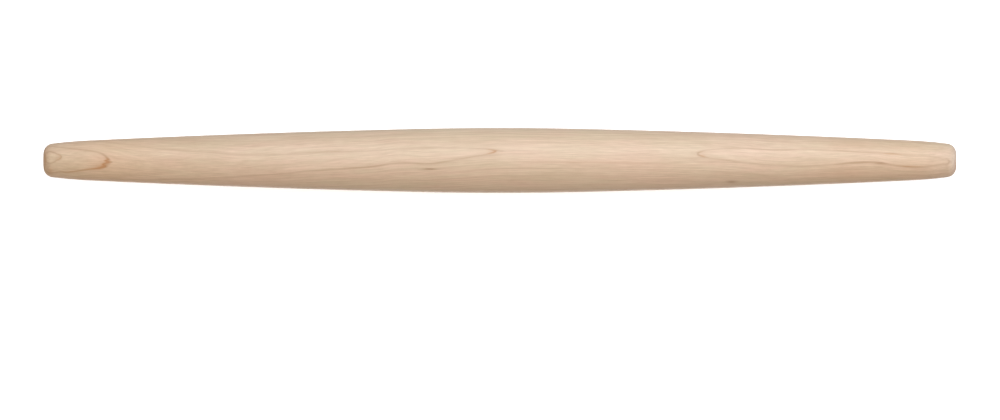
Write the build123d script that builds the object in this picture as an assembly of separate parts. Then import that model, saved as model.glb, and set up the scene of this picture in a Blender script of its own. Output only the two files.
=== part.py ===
from build123d import *
import os

# French rolling pin: one turned stick of hard maple with no handles, no bore and no moving pieces.
# It is widest at its belly, tapers in one long sweep to both ends, and stops in a small flat disc
# behind a broad round. Every size is in millimetres.
# Frame: origin on the pin's own axis at mid-length, +X along the pin, +Z up as it lies on a worktop.

# Driving sizes
overall_length = 533.4
belly_diameter = 38.1
end_diameter = 18.5
end_round_radius = 5.9

# The taper from belly to end: the share of the half length, and the share of the radius lost there.
# A slow crown, a long even sweep and a short shoulder meet at these stations in tangent arcs.
# end_diameter is where the shoulder would meet the end plane if that edge were left sharp.
crown_shares = (0.18, 0.055)
sweep_shares = (0.90, 0.745)
shoulder_shares = (1.0, 1.0)


def station(shares, side):
    """A point of the outline, on the right-hand half for side 1 and on the left-hand half for -1."""
    along_share, lost_share = shares
    radius_lost = (belly_diameter - end_diameter) / 2
    return (side * along_share * overall_length / 2, belly_diameter / 2 - lost_share * radius_lost)


def taper(crown, side):
    """The sweep and the shoulder on one side, each a tangent arc that carries on from the last."""
    crown_end = (1 + side) / 2
    start = crown @ crown_end
    heading = side * (crown % crown_end)
    for shares in (sweep_shares, shoulder_shares):
        arc = TangentArc(start, station(shares, side), tangent=heading)
        start = arc @ 1
        heading = arc % 1
    Line(start, (side * overall_length / 2, 0))


def outline():
    """The full-length face between the pin's axis and its surface, with both end corners rounded."""
    with BuildSketch(Plane.XZ) as face:
        with BuildLine():
            crown = ThreePointArc(
                station(crown_shares, -1),
                (0, belly_diameter / 2),
                station(crown_shares, 1),
            )
            taper(crown, -1)
            taper(crown, 1)
            Line((-overall_length / 2, 0), (overall_length / 2, 0))
        make_face()
        end_corners = [face.vertices().group_by(Axis.X)[end].sort_by(Axis.Y)[-1] for end in (0, -1)]
        fillet(end_corners, end_round_radius)
    return face.sketch


def rolling_pin():
    """The whole stick, one solid turned about its own axis."""
    return revolve(outline(), axis=Axis.X)


os.makedirs("parts", exist_ok=True)
export_step(rolling_pin(), "parts/rolling_pin.step")
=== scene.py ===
import bpy
import numpy as np
from functools import reduce
from math import asin, atan2, cos, pi, radians, sin, sqrt
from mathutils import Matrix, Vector
from operator import add


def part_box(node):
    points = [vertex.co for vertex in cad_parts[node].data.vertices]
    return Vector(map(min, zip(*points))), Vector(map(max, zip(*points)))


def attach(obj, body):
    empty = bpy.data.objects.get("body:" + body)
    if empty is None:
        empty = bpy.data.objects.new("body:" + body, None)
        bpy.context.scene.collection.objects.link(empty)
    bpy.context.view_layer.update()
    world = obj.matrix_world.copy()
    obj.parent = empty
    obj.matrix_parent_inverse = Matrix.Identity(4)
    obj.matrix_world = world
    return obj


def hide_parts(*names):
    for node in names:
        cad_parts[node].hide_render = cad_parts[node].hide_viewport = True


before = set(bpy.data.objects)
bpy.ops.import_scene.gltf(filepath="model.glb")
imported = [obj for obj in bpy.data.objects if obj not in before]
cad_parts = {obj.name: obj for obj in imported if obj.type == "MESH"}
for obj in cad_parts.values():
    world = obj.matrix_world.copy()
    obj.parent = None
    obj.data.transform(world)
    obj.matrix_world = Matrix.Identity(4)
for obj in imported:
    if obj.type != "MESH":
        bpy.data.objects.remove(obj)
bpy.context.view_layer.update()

# French rolling pin: one turned stick of hard maple on a pale floor.
# Sizes are in metres, in the frame's own axes, unless a name ends in _mm, _px or _deg.

# The pin's own sizes, from the frame
pin_low, pin_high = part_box("rolling_pin")
pin_length = pin_high.x - pin_low.x
belly_radius = pin_high.z

# The taper. Each station is a share of the half length and a share of the radius lost from belly to end.
end_radius = 0.00925
end_round_radius = 0.0059
crown_shares = (0.18, 0.055)
sweep_shares = (0.90, 0.745)
shoulder_shares = (1.0, 1.0)

# Mesh density
facets = 144
crown_steps = 12
sweep_steps = 90
shoulder_steps = 16
round_steps = 14
disc_steps = 5

# The texture map, as shares of its side: the gap round each island and the radius of an end cap
map_margin = 0.006
map_cap_radius = 0.06

# The photograph's frame, and where the pin lies in it
photo_width_px = 1000
photo_height_px = 420
pin_left_px = 43.45
pin_right_px = 956.2
pin_axis_px = 160.4
metres_per_px = pin_length / (pin_right_px - pin_left_px)

# Millimetres in a metre
mm = 1000.0

# The camera looks along +Y from above the horizon, through a long lens
camera_elevation = radians(30)
camera_distance = 6.0
camera_reach = 100.0
sensor_width_mm = 36.0
to_camera = Vector((0, -cos(camera_elevation), sin(camera_elevation)))
image_up = Vector((0, sin(camera_elevation), cos(camera_elevation)))


# The pin's outline: circles that carry on from each other, each given by its centre and its ends

def station(shares):
    """A point of the outline on the right-hand half, as (along the axis, out from the axis)."""
    along_share, lost_share = shares
    radius_lost = belly_radius - end_radius
    return Vector((along_share * pin_length / 2, belly_radius - lost_share * radius_lost))


def crown_centre():
    """The centre of the circle that is level at the belly and passes through the crown's end."""
    end = station(crown_shares)
    drop = belly_radius - end.y
    return Vector((0, belly_radius - (end.x ** 2 + drop ** 2) / (2 * drop)))


def next_centre(last_centre, joint, goal):
    """The centre of the circle that leaves joint along the last circle's tangent and meets goal."""
    inward = (last_centre - joint).normalized()
    step = goal - joint
    return joint + inward * step.length_squared / (2 * step.dot(inward))


def arc_points(centre, start, end, steps):
    """Evenly spaced points of a circle from start, which is left out, to end."""
    radius = (start - centre).length
    first = atan2(start.y - centre.y, start.x - centre.x)
    last = atan2(end.y - centre.y, end.x - centre.x)
    turns = [first + (last - first) * i / steps for i in range(1, steps + 1)]
    return [centre + radius * Vector((cos(t), sin(t))) for t in turns]


def half_outline():
    """Points from the belly to the middle of the right-hand end, and how many of them are the end cap."""
    belly = Vector((0, belly_radius))
    crown_end = station(crown_shares)
    sweep_end = station(sweep_shares)
    crown = crown_centre()
    sweep = next_centre(crown, crown_end, sweep_end)
    shoulder = next_centre(sweep, sweep_end, station(shoulder_shares))
    shoulder_radius = (sweep_end - shoulder).length
    round_x = pin_length / 2 - end_round_radius
    reach = shoulder_radius - end_round_radius
    round_centre = Vector((round_x, shoulder.y + sqrt(reach ** 2 - (round_x - shoulder.x) ** 2)))
    round_start = shoulder + (round_centre - shoulder).normalized() * shoulder_radius
    round_end = Vector((pin_length / 2, round_centre.y))
    points = [belly]
    points += arc_points(crown, belly, crown_end, crown_steps)
    points += arc_points(sweep, crown_end, sweep_end, sweep_steps)
    points += arc_points(shoulder, sweep_end, round_start, shoulder_steps)
    points += arc_points(round_centre, round_start, round_end, round_steps)
    for i in range(1, disc_steps + 1):
        points.append(Vector((pin_length / 2, round_end.y * (1 - i / disc_steps))))
    return points, round_steps + disc_steps


def full_outline():
    """Points from the middle of the left-hand end to the middle of the right-hand one, in a row."""
    right, cap_steps = half_outline()
    left = [Vector((-p.x, p.y)) for p in reversed(right[1:])]
    return left + right, cap_steps


# The pin's mesh

def lathe(name, outline, first_turn):
    """Turns the outline about the X axis. Its first and last points lie on the axis."""
    verts = [(outline[0].x, 0, 0)]
    for point in outline[1:-1]:
        for j in range(facets):
            turn = first_turn + 2 * pi * j / facets
            verts.append((point.x, point.y * sin(turn), point.y * cos(turn)))
    verts.append((outline[-1].x, 0, 0))
    corners = []
    for row in range(len(outline) - 1):
        for j in range(facets):
            corners.append([(row, j), (row + 1, j), (row + 1, j + 1), (row, j + 1)])
    corners = [without_pole_repeats(face, len(outline) - 1) for face in corners]
    faces = [[vertex_index(row, j, len(outline) - 1) for row, j in face] for face in corners]
    mesh = bpy.data.meshes.new(name)
    mesh.from_pydata(verts, [], faces)
    mesh.polygons.foreach_set("use_smooth", [True] * len(faces))
    return mesh, corners


def without_pole_repeats(face, last_row):
    """A face that touches a pole has one corner there, halfway round its facet."""
    for pole in (0, last_row):
        turns = [j for row, j in face if row == pole]
        if turns:
            tip = (pole, sum(turns) / len(turns))
            return list(dict.fromkeys(tip if row == pole else (row, j) for row, j in face))
    return face


def vertex_index(row, j, last_row):
    """The number of the vertex at that row and facet; each pole is one vertex."""
    if row == 0:
        return 0
    if row == last_row:
        return 1 + (last_row - 1) * facets
    return 1 + (row - 1) * facets + j % facets


def bake_map(mesh, corners, outline, cap_steps):
    """A texture map with the long surface as one strip and each end cap as a round island."""
    margin = map_margin
    cap_size = map_cap_radius
    strip_floor = 2 * cap_size + 3 * margin
    last_row = len(outline) - 1
    lengths = [0.0]
    for before, after in zip(outline, outline[1:]):
        lengths.append(lengths[-1] + (after - before).length)
    strip_start = lengths[cap_steps]
    strip_length = lengths[last_row - cap_steps] - strip_start
    layer = mesh.uv_layers.new(name="OFBake")
    loop = 0
    for face in corners:
        rows = [row for row, _ in face]
        left_cap = max(rows) <= cap_steps
        right_cap = min(rows) >= last_row - cap_steps
        for row, j in face:
            turn = 2 * pi * j / facets
            if left_cap or right_cap:
                reach = lengths[row] if left_cap else lengths[last_row] - lengths[row]
                reach *= cap_size / strip_start
                middle = margin + cap_size + (0 if left_cap else 2 * cap_size + margin)
                side = 1 if left_cap else -1
                uv = (middle + reach * side * sin(turn), margin + cap_size + reach * cos(turn))
            else:
                share = (lengths[row] - strip_start) / strip_length
                uv = (
                    margin + (1 - 2 * margin) * share,
                    strip_floor + (1 - margin - strip_floor) * j / facets,
                )
            layer.data[loop].uv = uv
            loop += 1


def make_pin():
    """The turned stick, with the map's seam on the side away from the camera."""
    outline, cap_steps = full_outline()
    seam_turn = atan2(-to_camera.y, -to_camera.z)
    mesh, corners = lathe("maple_pin", outline, seam_turn)
    bake_map(mesh, corners, outline, cap_steps)
    pin = bpy.data.objects.new("maple_pin", mesh)
    bpy.context.scene.collection.objects.link(pin)
    mesh.materials.append(maple_material())
    return pin


# Shader nodes written as sums

class Graph:
    """Adds nodes to one material's tree and joins them."""

    def __init__(self, tree):
        self.tree = tree
        self.tree.nodes.clear()

    def add(self, kind, **settings):
        node = self.tree.nodes.new(kind)
        for name, value in settings.items():
            setattr(node, name, value)
        return node

    def plug(self, value, socket):
        """Joins a wire to the socket, or sets a plain value on it."""
        if isinstance(value, Wire):
            self.tree.links.new(value.socket, socket)
        else:
            socket.default_value = value

    def math(self, operation, *values, clamp=False):
        node = self.add("ShaderNodeMath", operation=operation, use_clamp=clamp)
        for value, socket in zip(values, node.inputs):
            self.plug(value, socket)
        return Wire(self, node.outputs[0])

    def between(self, value, low, high, out_low=0.0, out_high=1.0):
        """Takes value from low to high smoothly to out_low to out_high, and no further."""
        node = self.add("ShaderNodeMapRange", interpolation_type="SMOOTHSTEP")
        for given, socket in zip((value, low, high, out_low, out_high), node.inputs):
            self.plug(given, socket)
        return Wire(self, node.outputs[0])

    def mix(self, share, first, second):
        """A colour between first and second."""
        node = self.add("ShaderNodeMix", data_type="RGBA")
        self.plug(share, node.inputs["Factor"])
        self.plug(first, node.inputs[6])
        self.plug(second, node.inputs[7])
        return Wire(self, node.outputs[2])

    def tint(self, colour, factor):
        """The colour times a value or another colour."""
        node = self.add("ShaderNodeMix", data_type="RGBA", blend_type="MULTIPLY")
        node.inputs["Factor"].default_value = 1.0
        self.plug(colour, node.inputs[6])
        self.plug(factor, node.inputs[7])
        return Wire(self, node.outputs[2])

    def split(self, vector):
        node = self.add("ShaderNodeSeparateXYZ")
        self.plug(vector, node.inputs[0])
        return [Wire(self, out) for out in node.outputs]

    def join(self, x, y, z):
        node = self.add("ShaderNodeCombineXYZ")
        for value, socket in zip((x, y, z), node.inputs):
            self.plug(value, socket)
        return Wire(self, node.outputs[0])

    def noise(self, place, seed, detail):
        """Smooth noise about 0, mostly within 1 either way. Seed is a shift that picks its pattern."""
        node = self.add("ShaderNodeTexNoise", noise_dimensions="4D")
        self.plug(place, node.inputs["Vector"])
        node.inputs["W"].default_value = seed
        node.inputs["Scale"].default_value = 1.0
        node.inputs["Detail"].default_value = detail
        return (Wire(self, node.outputs["Fac"]) - 0.5) * 4.0

    def cells(self, place, seed):
        """The distance to the nearest of scattered points, and a random value for that point."""
        node = self.add("ShaderNodeTexVoronoi", voronoi_dimensions="4D", feature="F1")
        self.plug(place, node.inputs["Vector"])
        node.inputs["W"].default_value = seed
        node.inputs["Scale"].default_value = 1.0
        return Wire(self, node.outputs["Distance"]), self.split(Wire(self, node.outputs["Color"]))[0]

    def curve(self, value, xs, ys):
        """The line through the points (xs, ys), read at value."""
        x_low, x_high = float(min(xs)), float(max(xs))
        y_low, y_high = float(min(ys)), float(max(ys))
        node = self.add("ShaderNodeFloatCurve")
        share = (value - x_low) * (1 / (x_high - x_low))
        self.plug(share, node.inputs["Value"])
        points = node.mapping.curves[0].points
        while len(points) < len(xs):
            points.new(0.5, 0.5)
        for point, x, y in zip(points, xs, ys):
            point.location = ((x - x_low) / (x_high - x_low), (y - y_low) / (y_high - y_low))
            point.handle_type = "VECTOR"
        node.mapping.update()
        return Wire(self, node.outputs[0]) * (y_high - y_low) + y_low


class Wire:
    """A value in a shader tree. Each operator on it adds one Math node."""

    def __init__(self, graph, socket):
        self.graph = graph
        self.socket = socket

    def __add__(self, other):
        return self.graph.math("ADD", self, other)

    def __sub__(self, other):
        return self.graph.math("SUBTRACT", self, other)

    def __mul__(self, other):
        return self.graph.math("MULTIPLY", self, other)

    def __truediv__(self, other):
        return self.graph.math("DIVIDE", self, other)

    def clamped(self):
        return self.graph.math("ADD", self, 0.0, clamp=True)

    def size(self):
        return self.graph.math("ABSOLUTE", self)

    def root(self):
        return self.graph.math("SQRT", self)

    def bell(self):
        """One at 0, falling away smoothly to nothing by about 2 either way."""
        return self.graph.math("EXPONENT", self * self * -1.0)


# The wood's figure. Growth rings are layers through the stick, and the taper cuts them into tongues.
# Each line is a column of the photograph, the height in mm of one layer above the main growth line, and
# the rows where that layer meets the surface above and below its crest. The rows are equal at a tip.
figure_stations = (
    (46.5, 10.4, 153.5, 166.2),
    (50, 10.4, 153.6, 166.2),
    (54, 10.4, 154.0, 166.0),
    (57, 10.4, 154.8, 165.2),
    (58.2, 10.4, 156.6, 163.4),
    (58.4, 10.4, 160.0, 160.0),
    (67, 7.2, 148.0, 173.0),
    (77, 7.2, 149.2, 171.4),
    (88, 7.2, 150.3, 169.8),
    (97, 7.2, 151.9, 169.2),
    (102.5, 7.2, 153.0, 168.9),
    (106, 7.2, 155.8, 167.0),
    (108.0, 7.2, 161.2, 161.2),
    (127, 0, 144.3, 180.0),
    (146, 0, 146.7, 180.0),
    (161, 0, 148.9, 179.8),
    (180, 0, 150.4, 179.4),
    (196, 0, 151.2, 179.0),
    (212, 0, 152.2, 178.4),
    (237, 0, 154.5, 177.0),
    (254, 0, 155.0, 175.8),
    (280, 0, 154.3, 174.0),
    (311, 0, 152.6, 171.4),
    (326, 0, 151.9, 170.4),
    (352, 0, 151.5, 168.6),
    (372, 0, 150.8, 167.2),
    (385, 0, 149.9, 165.0),
    (393, 0, 149.3, 163.6),
    (400, 0, 148.8, 163.2),
    (410, 0, 148.2, 163.2),
    (425, 0, 147.9, 164.2),
    (433, 0, 148.0, 163.6),
    (450, 0, 148.2, 160.7),
    (464, 0, 148.3, 158.8),
    (472, 0, 148.4, 157.6),
    (480, 0, 148.6, 156.2),
    (488, 0, 148.9, 154.7),
    (494, 0, 149.7, 153.4),
    (500, 0, 151.2, 151.2),
    (520, -0.2, 151.5, 151.5),
    (600, -0.35, 152.5, 152.5),
    (680, -0.2, 153.8, 153.8),
    (697.7, 0, 154.0, 154.0),
    (700, 0, 151.3, 156.3),
    (705, 0, 150.5, 157.3),
    (712, 0, 149.7, 158.8),
    (720, 0, 148.8, 159.8),
    (735, 0, 148.3, 161.8),
    (745, 0, 148.5, 162.9),
    (762, 0, 149.4, 164.8),
    (772, 0, 150.0, 165.6),
    (785, 0, 150.0, 166.2),
    (800, 0, 149.1, 166.4),
    (815, 0, 149.2, 166.0),
    (832, 0, 150.0, 165.0),
    (850, 0, 151.3, 163.3),
    (870, 0, 152.0, 162.5),
    (880, 0, 152.6, 163.3),
    (890, 0, 153.5, 164.8),
    (900, 0, 154.2, 166.5),
    (908, 0, 154.8, 167.2),
    (918, 0, 155.3, 167.4),
    (930, 0, 156.4, 166.4),
    (938, 0, 157.6, 165.4),
    (943, 0, 159.6, 163.4),
    (946.5, 0.05, 161.5, 161.5),
    (950, -0.4, 161.5, 161.5),
    (954, -1.5, 161.5, 161.5),
)
figure_smoothing_mm = 2.0
figure_samples = 512
pith_distance_mm = 80.0

# At the left end the layers lean to one side: the lean, how far across it reaches and its columns
lean_slope = 0.3
lean_reach_mm = 5.0
lean_columns = (69, 60)

# The growth lines, from the pith side to the bark side: height above the main one in mm, and strength
growth_lines = (
    (10.7, 0.9),
    (7.2, 0.95),
    (3.3, 0.1),
    (0.0, 0.8),
    (-1.6, 0.2),
    (-3.5, 0.4),
    (-5.2, 0.3),
    (-6.6, 0.5),
    (-9.3, 0.4),
    (-12.8, 0.6),
    (-15.6, 0.35),
    (-17.5, 0.5),
    (-20.3, 0.7),
    (-22.6, 0.45),
    (-25.9, 0.8),
    (-28.4, 0.5),
    (-31.9, 0.75),
    (-35.0, 0.6),
)

# How dark a growth line is: at its core, in the late wood behind it and where its core is stained
core_darkness = 0.6
late_wood_darkness = 0.22
stain_darkness = 0.5

# How far the late wood fades out on a line's older side, and half the width over which that side begins
late_wood_mm = 0.3
older_side_edge_mm = 0.01

# Each growth line fades in and out along the pin about this share of its strength
fading_mean = 0.85
fading_depth = 0.3

# How wide the lines are drawn along the pin: column of the photograph, and width in mm
line_widths = (
    (44, 0.6),
    (90, 0.65),
    (130, 0.85),
    (300, 0.75),
    (370, 0.52),
    (680, 0.5),
    (698, 0.65),
    (716, 0.52),
    (956, 0.58),
)

# Where the layers are pushed up or down a little: column, row, half length and half height in pixels, mm
jags = (
    (109.5, 159.2, 3, 0.7, 0.05),
    (108, 160.8, 3, 0.6, -0.3),
    (110.5, 162.3, 3, 0.8, 0.35),
    (107, 164.3, 3, 0.9, -0.75),
    (104.5, 167, 3, 0.9, 0.2),
)

# Where a growth line is darker, or paler below 0, given in the same way but with a strength last
dark_stains = (
    (106, 162.5, 6, 7, 1.0),
    (105, 156, 6, 3, 0.5),
    (103.5, 165.5, 3, 2.5, 0.7),
    (96, 151.5, 10, 2, 0.1),
    (61, 157, 4, 4, 0.1),
    (53, 157, 5, 8, 1.6),
    (190, 150, 50, 3, 0.3),
    (325, 152.5, 30, 3, 0.35),
    (372, 167, 30, 3, 0.8),
    (372, 151, 16, 2, -0.4),
    (400, 163.5, 16, 2, 0.3),
    (436, 163.2, 14, 2, 0.3),
    (430, 148, 14, 2, 0.6),
    (466, 148.5, 12, 2, -0.35),
    (494, 152, 6, 3, 0.8),
    (600, 163, 70, 3, 0.5),
    (699, 154, 6, 5, 1.3),
    (762, 149.5, 34, 3, 1.0),
    (858, 162.8, 28, 3, 2.2),
    (880, 163.3, 7, 2, 1.4),
    (862, 152, 24, 2, 0.5),
    (890, 153.5, 12, 2, 0.5),
    (906, 167, 16, 2.5, 1.0),
    (934, 157, 14, 3, -0.6),
    (935, 165.5, 12, 2, -0.35),
    (142, 146.5, 14, 2, -0.3),
    (949, 163, 5, 2, 0.8),
)

# Where the wood beside a growth line is stained orange, on its older side
orange_stains = (
    (101.5, 165, 7, 4.5, 1.3),
    (107.5, 161, 3.5, 3.5, 0.8),
    (60, 157.5, 4, 3, 0.45),
    (92, 169, 12, 2, 0.5),
    (72, 172, 16, 2.5, 0.35),
    (494, 152.5, 6, 3, 0.7),
    (702, 155.5, 3, 3, 0.4),
    (892, 153.7, 9, 2, 0.4),
    (906, 167, 14, 2, 0.35),
    (600, 163, 70, 3, 0.15),
)

# How far an orange stain reaches from its line, and how much of it colours the line itself
stain_reach_mm = 2.0
stain_on_core = 0.6

# Small dark flecks in the wood between the lines, given in the same way
flecks = (
    (731, 182, 5, 1.3, 0.85),
    (430, 169.1, 7, 0.8, 1.2),
    (501, 151.2, 4, 0.7, 0.5),
    (880, 163.2, 4, 0.9, 0.5),
    (950, 161.5, 2.5, 1.5, 0.22),
)

# More flecks are scattered at random. Their edges are shares of the distance between neighbours, and only
# the places that draw a number past these chances have one.
fleck_edges = (0.1, 0.02)
fleck_chances = (0.7, 0.75)
scattered_fleck_strength = 0.5

# Soft brown patches, given in the same way
smears = (
    (45.5, 160, 1.8, 9, 0.4),
    (51, 171, 3, 2.5, 0.3),
    (97, 163, 10, 5, 0.13),
    (955.5, 167, 1.8, 5, 0.25),
    (850, 173, 36, 8, 0.12),
    (850, 145, 24, 5, 0.1),
)

# How warm the wood's own colour is along the pin: column of the photograph, and strength
warmth_stations = (
    (44, 0.6),
    (62, 0.6),
    (110, 1.0),
    (160, 0.5),
    (230, 0.15),
    (300, 0.0),
    (760, 0.0),
    (860, 0.3),
    (915, 0.5),
    (932, 0.3),
    (945, 0.0),
    (956, 0.0),
)

# The marks above fade in over this distance in front of the pin's axis, so none shows on the far side
front_fade_mm = 2.0

# Keeps a line from spreading without end where the surface runs along a layer
least_steepness_squared = 0.0003

# How far the surface faces along the pin where end grain starts to show, and where it is complete
end_grain_facings = (0.3, 0.95)

# The finer patterns of the wood: the size of their grains in mm along the pin, across it and through it,
# a number that picks the pattern, and its detail. Streaks and bands are measured through the layers.
wander_grain = (80, 18, 18, 3.0, 2.0)
waver_grain = (13, 2.4, 2.4, 9.0, 2.0)
fading_grain = (40, 8, 8, 21.0, 2.0)
tone_grain = (60, 16, 16, 13.0, 2.0)
mottle_grain = (22, 4, 4, 23.0, 2.0)
streak_grain = (110, 9, 0.55, 5.0, 3.0)
band_grain = (160, 30, 2.2, 15.0, 1.0)
strand_grain = (40, 0.85, 0.85, 25.0, 3.0)
fibre_grain = (10, 0.4, 0.4, 7.0, 3.0)
patch_grain = (48, 12, 12, 11.0, 2.0)
ripple_grain = (3.5, 7, 7, 27.0, 2.0)

# Scattered grains, given in the same way but with no detail, and the distances where they fade out
ray_grain = (1.7, 0.3, 7.0, 17.0)
ray_edges = (0.42, 0.2)
pore_grain = (5.0, 0.34, 0.34, 19.0)
pore_edges = (0.3, 0.12)
fleck_grain = (26, 6, 6, 41.0)

# How far the layers wander in mm, over a long stretch and over a short one
wander_mm = 0.08
waver_mm = 0.03

# How much each pattern adds to the wood's shade, to the height of its surface and to its roughness
shade_effects = {
    "streaks": 0.062,
    "bands": 0.025,
    "strands": 0.093,
    "fibres": 0.12,
    "patches": 0.024,
    "ripple": 0.012,
    "rays": -0.05,
    "pores": -0.07,
    "end_grain": -0.04,
}
height_effects = {"fibres": 0.5, "rays": -0.6, "pores": -1.5, "lines": 0.4}
roughness_effects = {"streaks": 0.02, "fibres": 0.03, "rays": -0.1, "end_grain": 0.12}
mean_shade = 1.02
mean_roughness = 0.45
relief_height = 0.00002
oil_refraction = 1.5

# A darker shade loses less of its red than of its green, and more of its blue
red_share = 0.85
blue_share = 1.25

# The maple's colours: its ground, the tints that vary it, and those of its lines, stains and flecks
pale = (0.666, 0.515, 0.389, 1)
no_tint = (1, 1, 1, 1)
warm_tint = (1.0, 0.95, 0.88, 1)
pink_tint = (1.03, 0.987, 0.98, 1)
straw_tint = (0.98, 1.009, 0.965, 1)
line_brown = (0.36, 0.20, 0.10, 1)
stain_orange = (0.50, 0.235, 0.095, 1)
fleck_brown = (0.28, 0.135, 0.06, 1)

# How much of the ground each covers at its strongest
line_cover = 0.45
stain_cover = 0.75
fleck_cover = 0.6


def along_mm(x_px):
    """A place along the pin, from a column of the photograph."""
    return (x_px - (pin_left_px + pin_right_px) / 2) * metres_per_px * mm


def up_mm(y_px):
    """A height above the pin's axis on the side that faces the camera, from a row of the photograph."""
    return (pin_axis_px - y_px) * metres_per_px * mm


def smooth_line(xs, station_xs, station_ys):
    """The values at the stations, joined by straight lines whose corners are then rounded off."""
    step = xs[1] - xs[0]
    reach = int(3 * figure_smoothing_mm / step)
    weights = np.exp(-0.5 * (np.arange(-reach, reach + 1) * step / figure_smoothing_mm) ** 2)
    padded = np.interp(np.arange(-reach, len(xs) + reach) * step + xs[0], station_xs, station_ys)
    return np.convolve(padded, weights / weights.sum(), mode="valid")


def figure_curves():
    """Places along the pin, the bow of the layers there, its slope and the turn of their crest."""
    xs = np.linspace(-pin_length / 2 * mm, pin_length / 2 * mm, figure_samples)
    outline, _ = full_outline()
    radii = np.interp(xs, [p.x * mm for p in outline], [p.y * mm for p in outline])
    before_rounds = np.abs(xs) < (pin_length / 2 - end_round_radius) * mm
    body_radii = np.interp(xs, xs[before_rounds], radii[before_rounds])
    places, crests, turns = [], [], []
    for x_px, level, upper_px, lower_px in figure_stations:
        place = along_mm(x_px)
        radius = np.interp(place, xs, radii)
        upper = asin(up_mm(upper_px) / radius)
        lower = asin(up_mm(lower_px) / radius)
        spread = (upper - lower) / 2
        curl = (radius * sin(spread)) ** 2 / (2 * pith_distance_mm)
        places.append(place)
        crests.append(level + np.interp(place, xs, body_radii) - radius * cos(spread) + curl)
        turns.append((upper + lower) / 2)
    bow = smooth_line(xs, places, crests) - body_radii
    return xs, bow, np.gradient(bow, xs), smooth_line(xs, places, turns)


def turned(graph, vector, angle):
    """The vector turned about the pin's axis by the angle, as the layers are."""
    node = graph.add("ShaderNodeVectorRotate", rotation_type="X_AXIS")
    graph.plug(vector, node.inputs["Vector"])
    graph.plug(angle, node.inputs["Angle"])
    return Wire(graph, node.outputs[0])


def faced(graph, vector, scale):
    """The vector with its Z turned to point from the pin to the camera's place, at the given scale."""
    node = graph.add("ShaderNodeMapping", vector_type="POINT")
    graph.plug(vector, node.inputs["Vector"])
    node.inputs["Rotation"].default_value = (camera_elevation - pi / 2, 0, 0)
    node.inputs["Scale"].default_value = (scale, scale, scale)
    return Wire(graph, node.outputs[0])


class Wood:
    """Where a point lies in the wood, in mm: along the grain, across it, out towards the photographed
    side, and up through the layers. Steepness is how fast the surface there climbs through them."""

    def __init__(self, graph):
        self.graph = graph
        xs, bow, bow_slope, turns = figure_curves()
        coords = graph.add("ShaderNodeTexCoord")
        place = faced(graph, Wire(graph, coords.outputs["Object"]), mm)
        normal = faced(graph, Wire(graph, coords.outputs["Normal"]), 1.0)
        self.along, self.up, self.out = graph.split(place)
        turn = graph.curve(self.along, xs, turns)
        _, self.across, self.depth = graph.split(turned(graph, place, turn))
        lean = graph.between(self.along, *map(along_mm, lean_columns)) * lean_slope
        lean_share = self.across * (1 / lean_reach_mm)
        lean_bell = lean_share.bell() * lean
        self.layer = self.bowed_layer(graph.curve(self.along, xs, bow)) + self.across * lean_bell
        jagged = self.push_layers()
        slope = graph.curve(self.along, xs, bow_slope)
        tilt = self.across * (-1 / pith_distance_mm) + lean_bell * (lean_share * lean_share * -2.0 + 1.0)
        out_along, out_across, out_depth = graph.split(turned(graph, normal, turn))
        facing = out_along * slope + out_across * tilt + out_depth
        cosine = facing / (slope * slope + tilt * tilt + 1.0).root()
        sine_squared = (cosine * cosine * -1.0 + 1.0).clamped()
        self.steepness = (sine_squared + least_steepness_squared).root() + jagged
        self.end_grain = graph.between(out_along.size(), *end_grain_facings)

    def bowed_layer(self, bow):
        """The layers' own height: curled about a far-off pith, bowed along the pin and a little wavy."""
        curl = self.across * self.across * (-0.5 / pith_distance_mm)
        wander = self.noise(*wander_grain) * wander_mm
        waver = self.noise(*waver_grain) * waver_mm
        return self.depth + curl + bow + wander + waver

    def push_layers(self):
        """Pushes the layers up or down at the jags, and gives how much steeper that makes them."""
        steeper = []
        for x_px, y_px, half_length_px, half_height_px, push in jags:
            spot = self.mark(x_px, y_px, half_length_px, half_height_px)
            self.layer = self.layer + spot * push
            steeper.append(spot * (abs(push) / (half_height_px * metres_per_px * mm)))
        return reduce(add, steeper)

    def measured(self, along_size, across_size, depth_size, depth):
        """The point as counts of those sizes, for a pattern whose grains are that big."""
        return self.graph.join(
            self.along * (1 / along_size), self.across * (1 / across_size), depth * (1 / depth_size)
        )

    def noise(self, along_size, across_size, depth_size, seed, detail):
        """Smooth noise with grains of those sizes in mm."""
        place = self.measured(along_size, across_size, depth_size, self.depth)
        return self.graph.noise(place, seed, detail)

    def layer_noise(self, along_size, across_size, layer_size, seed, detail):
        """Smooth noise that follows the layers, so that it runs with the figure."""
        place = self.measured(along_size, across_size, layer_size, self.layer)
        return self.graph.noise(place, seed, detail)

    def cells(self, along_size, across_size, depth_size, seed):
        """Scattered grains of those sizes in mm: distance to the nearest one, and its random value."""
        place = self.measured(along_size, across_size, depth_size, self.depth)
        return self.graph.cells(place, seed)

    def speckles(self, grain, edges):
        """Scattered grains, each at a random strength, that fade out between two distances."""
        distance, chance = self.cells(*grain)
        return self.graph.between(distance, *edges) * chance

    def mark(self, x_px, y_px, half_length_px, half_height_px):
        """One at a place of the photographed side, fading to nothing outside that length and height."""
        from_middle = (self.along - along_mm(x_px)) / (half_length_px * metres_per_px * mm)
        from_row = (self.up - up_mm(y_px)) / (half_height_px * metres_per_px * mm)
        spot = self.graph.math("EXPONENT", (from_middle * from_middle + from_row * from_row) * -1.0)
        return spot * self.graph.between(self.out, 0.0, front_fade_mm)


def along_curve(graph, wood, stations):
    """A value that changes along the pin, from a table of columns and values."""
    places = [along_mm(x_px) for x_px, _ in stations]
    return graph.curve(wood.along, places, [value for _, value in stations])


def summed_marks(wood, places):
    """All the marks of a table of places, each at its own strength."""
    return reduce(add, [wood.mark(*place) * strength for *place, strength in places])


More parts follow.
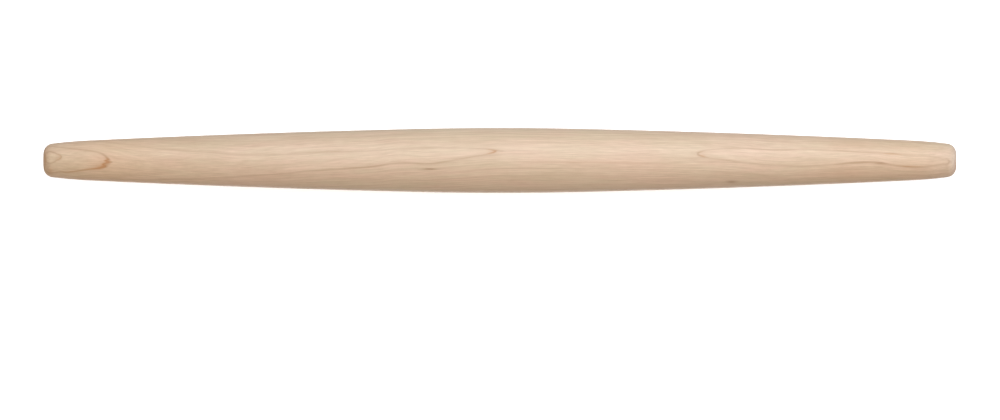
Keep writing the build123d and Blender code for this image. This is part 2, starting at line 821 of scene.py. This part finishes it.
def growth_marks(graph, wood):
    """The dark lines where layers end, and the stained blush beside them, each from 0 to 1."""
    heights = [height for height, _ in growth_lines]
    strengths = [strength for _, strength in growth_lines]
    numbers = list(range(len(growth_lines)))
    number = graph.math("ROUND", graph.curve(wood.layer, heights[::-1], numbers[::-1]))
    offset = wood.layer - graph.curve(number, numbers, heights)
    strength = graph.curve(number, numbers, strengths)
    width = along_curve(graph, wood, line_widths)
    core = (offset / (wood.steepness * width)).bell()
    older_side = graph.between(offset, -older_side_edge_mm, older_side_edge_mm)
    late_wood = graph.math("EXPONENT", offset.size() * (-1 / late_wood_mm)) * older_side
    fading = wood.noise(*fading_grain) * fading_depth + fading_mean
    lines = (core * core_darkness + late_wood * late_wood_darkness) * strength * fading
    lines = lines + core * summed_marks(wood, dark_stains) * stain_darkness
    reach = graph.math("EXPONENT", offset.size() / (wood.steepness * -stain_reach_mm))
    near_line = reach * older_side + core * stain_on_core
    return lines.clamped(), (near_line * summed_marks(wood, orange_stains)).clamped()


def fleck_marks(graph, wood):
    """The small dark flecks, and a few more like them scattered through the rest of the wood."""
    distance, chance = wood.cells(*fleck_grain)
    drawn = graph.between(chance, *fleck_chances, 0.0, scattered_fleck_strength)
    scattered = graph.between(distance, *fleck_edges) * drawn
    return (summed_marks(wood, flecks) + scattered).clamped()


def grain_patterns(wood, lines):
    """The patterns by name. Rays, pores, end grain and lines run from 0 to 1, and the rest lie about 0."""
    return {
        "streaks": wood.layer_noise(*streak_grain),
        "bands": wood.layer_noise(*band_grain),
        "strands": wood.noise(*strand_grain),
        "fibres": wood.noise(*fibre_grain),
        "patches": wood.noise(*patch_grain),
        "ripple": wood.noise(*ripple_grain),
        "rays": wood.speckles(ray_grain, ray_edges),
        "pores": wood.speckles(pore_grain, pore_edges),
        "end_grain": wood.end_grain,
        "lines": lines,
    }


def summed_effects(patterns, effects):
    """The patterns that a table of effects names, each times its effect."""
    return reduce(add, [patterns[name] * effect for name, effect in effects.items()])


def maple_colour(graph, wood, patterns, blush):
    """The wood's colour: its pale ground, varied in tone and shade, under its lines, stains and flecks."""
    tone = wood.noise(*tone_grain) + wood.noise(*mottle_grain)
    colour = graph.tint(pale, graph.mix((tone * 0.5 + 0.5).clamped(), pink_tint, straw_tint))
    warmth = along_curve(graph, wood, warmth_stations)
    colour = graph.tint(colour, graph.mix(warmth, no_tint, warm_tint))
    shade = summed_effects(patterns, shade_effects) + mean_shade
    red = shade * red_share + (1 - red_share)
    blue = shade * blue_share + (1 - blue_share)
    colour = graph.tint(colour, graph.join(red, shade, blue))
    colour = graph.mix(patterns["lines"] * line_cover, colour, line_brown)
    stained = (blush * stain_cover + summed_marks(wood, smears)).clamped()
    colour = graph.mix(stained, colour, stain_orange)
    return graph.mix(fleck_marks(graph, wood) * fleck_cover, colour, fleck_brown)


def maple_relief(graph, patterns):
    """The surface's fine relief, from its raised fibres to its open pores."""
    bump = graph.add("ShaderNodeBump")
    bump.inputs["Distance"].default_value = relief_height
    graph.plug(summed_effects(patterns, height_effects), bump.inputs["Height"])
    return Wire(graph, bump.outputs[0])


def maple_material():
    """Oiled hard maple: growth lines, fibres, rays, pores and end grain, all through the solid."""
    material = bpy.data.materials.new("oiled_maple")
    material.use_nodes = True
    graph = Graph(material.node_tree)
    wood = Wood(graph)
    lines, blush = growth_marks(graph, wood)
    patterns = grain_patterns(wood, lines)
    roughness = summed_effects(patterns, roughness_effects) + mean_roughness
    shader = graph.add("ShaderNodeBsdfPrincipled")
    graph.plug(maple_colour(graph, wood, patterns, blush), shader.inputs["Base Color"])
    graph.plug(roughness.clamped(), shader.inputs["Roughness"])
    graph.plug(maple_relief(graph, patterns), shader.inputs["Normal"])
    shader.inputs["IOR"].default_value = oil_refraction
    output = graph.add("ShaderNodeOutputMaterial")
    graph.tree.links.new(shader.outputs[0], output.inputs["Surface"])
    return material


# The studio: a floor that is as white as the photograph's ground
floor_half_size = 40.0
floor_colour = (0.9, 0.9, 0.9, 1)
floor_glow = 0.75

# The surround is even but for a brighter band round the horizon
surround_strength = 0.3
horizon_strength = 0.8
horizon_sharpness = 25.0

# The soft box above the pin, a little in front of it
soft_box_size = 1.0
soft_box_place = (0.18, -0.424, 0.87)
soft_box_power = 8.42

# The fills, each from far off on one side: name, the way to it, strength, spread in degrees and colour
fill_lights = (
    ("side_fill", (1, -0.1, 0.12), 1.55, 50, (0.72, 0.82, 1)),
    ("left_fill", (-1, -0.2, 0.5), 0.65, 120, (1, 0.9, 0.8)),
    ("warm_fill", (0, -0.77, -0.64), 0.75, 120, (1, 0.68, 0.36)),
    ("floor_bounce", (0, -0.1, -1), 0.12, 60, (0.4, 0.7, 1)),
    ("back_fill", (0, 0.82, -0.57), 1.2, 50, (1, 1, 1)),
)


def make_floor():
    """A plain pale floor under the pin. It neither lights the pin nor shades it."""
    half = floor_half_size
    low = pin_low.z
    corners = [(-half, -half, low), (half, -half, low), (half, half, low), (-half, half, low)]
    mesh = bpy.data.meshes.new("floor")
    mesh.from_pydata(corners, [], [(0, 1, 2, 3)])
    floor = bpy.data.objects.new("floor", mesh)
    bpy.context.scene.collection.objects.link(floor)
    mesh.materials.append(floor_material())
    floor.visible_diffuse = False
    floor.visible_glossy = False
    floor.visible_shadow = False


def floor_material():
    """A matt pale surface with a glow that brings it up to white."""
    material = bpy.data.materials.new("pale_floor")
    material.use_nodes = True
    shader = material.node_tree.nodes["Principled BSDF"]
    shader.inputs["Base Color"].default_value = floor_colour
    shader.inputs["Roughness"].default_value = 1.0
    shader.inputs["Specular IOR Level"].default_value = 0.0
    shader.inputs["Emission Color"].default_value = (1, 1, 1, 1)
    shader.inputs["Emission Strength"].default_value = floor_glow
    return material


def place_light(name, data, toward, strength, colour=(1, 1, 1)):
    """Puts the light at that place, turned to the middle of the pin."""
    data.energy = strength
    data.color = colour
    lamp = bpy.data.objects.new(name, data)
    bpy.context.scene.collection.objects.link(lamp)
    lamp.location = toward
    lamp.rotation_euler = Vector(toward).to_track_quat("Z", "Y").to_euler()
    lamp.visible_camera = False


def make_surround():
    """Pale light from all round, brightest at the horizon."""
    world = bpy.data.worlds.new("studio_surround")
    bpy.context.scene.world = world
    world.use_nodes = True
    graph = Graph(world.node_tree)
    coords = graph.add("ShaderNodeTexCoord")
    _, _, up = graph.split(Wire(graph, coords.outputs["Generated"]))
    background = graph.add("ShaderNodeBackground")
    horizon = (up * horizon_sharpness).bell() * horizon_strength
    graph.plug(horizon + surround_strength, background.inputs["Strength"])
    output = graph.add("ShaderNodeOutputWorld")
    graph.tree.links.new(background.outputs[0], output.inputs["Surface"])


def make_lights():
    """The soft box and the fills. The picture shows their light plainly, with no film look."""
    soft_box = bpy.data.lights.new("soft_box", "AREA")
    soft_box.size = soft_box_size
    place_light("soft_box", soft_box, soft_box_place, soft_box_power)
    for name, toward, strength, spread_deg, colour in fill_lights:
        fill = bpy.data.lights.new(name, "SUN")
        fill.angle = radians(spread_deg)
        place_light(name, fill, toward, strength, colour)
    bpy.context.scene.view_settings.view_transform = "Standard"


def make_camera():
    """Square to the pin, with the pin as high in the frame as the photograph has it."""
    data = bpy.data.cameras.new("camera")
    data.sensor_width = sensor_width_mm
    data.lens = sensor_width_mm * camera_distance / (photo_width_px * metres_per_px)
    data.clip_end = camera_reach
    camera = bpy.data.objects.new("camera", data)
    bpy.context.scene.collection.objects.link(camera)
    across_px = photo_width_px / 2 - (pin_left_px + pin_right_px) / 2
    down_px = photo_height_px / 2 - pin_axis_px
    aim = Vector((across_px * metres_per_px, 0, 0)) - image_up * down_px * metres_per_px
    camera.location = aim + to_camera * camera_distance
    camera.rotation_euler = (pi / 2 - camera_elevation, 0, 0)
    bpy.context.scene.camera = camera


make_camera()
make_surround()
make_lights()
make_floor()
pin = make_pin()
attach(pin, "root")
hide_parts("rolling_pin")
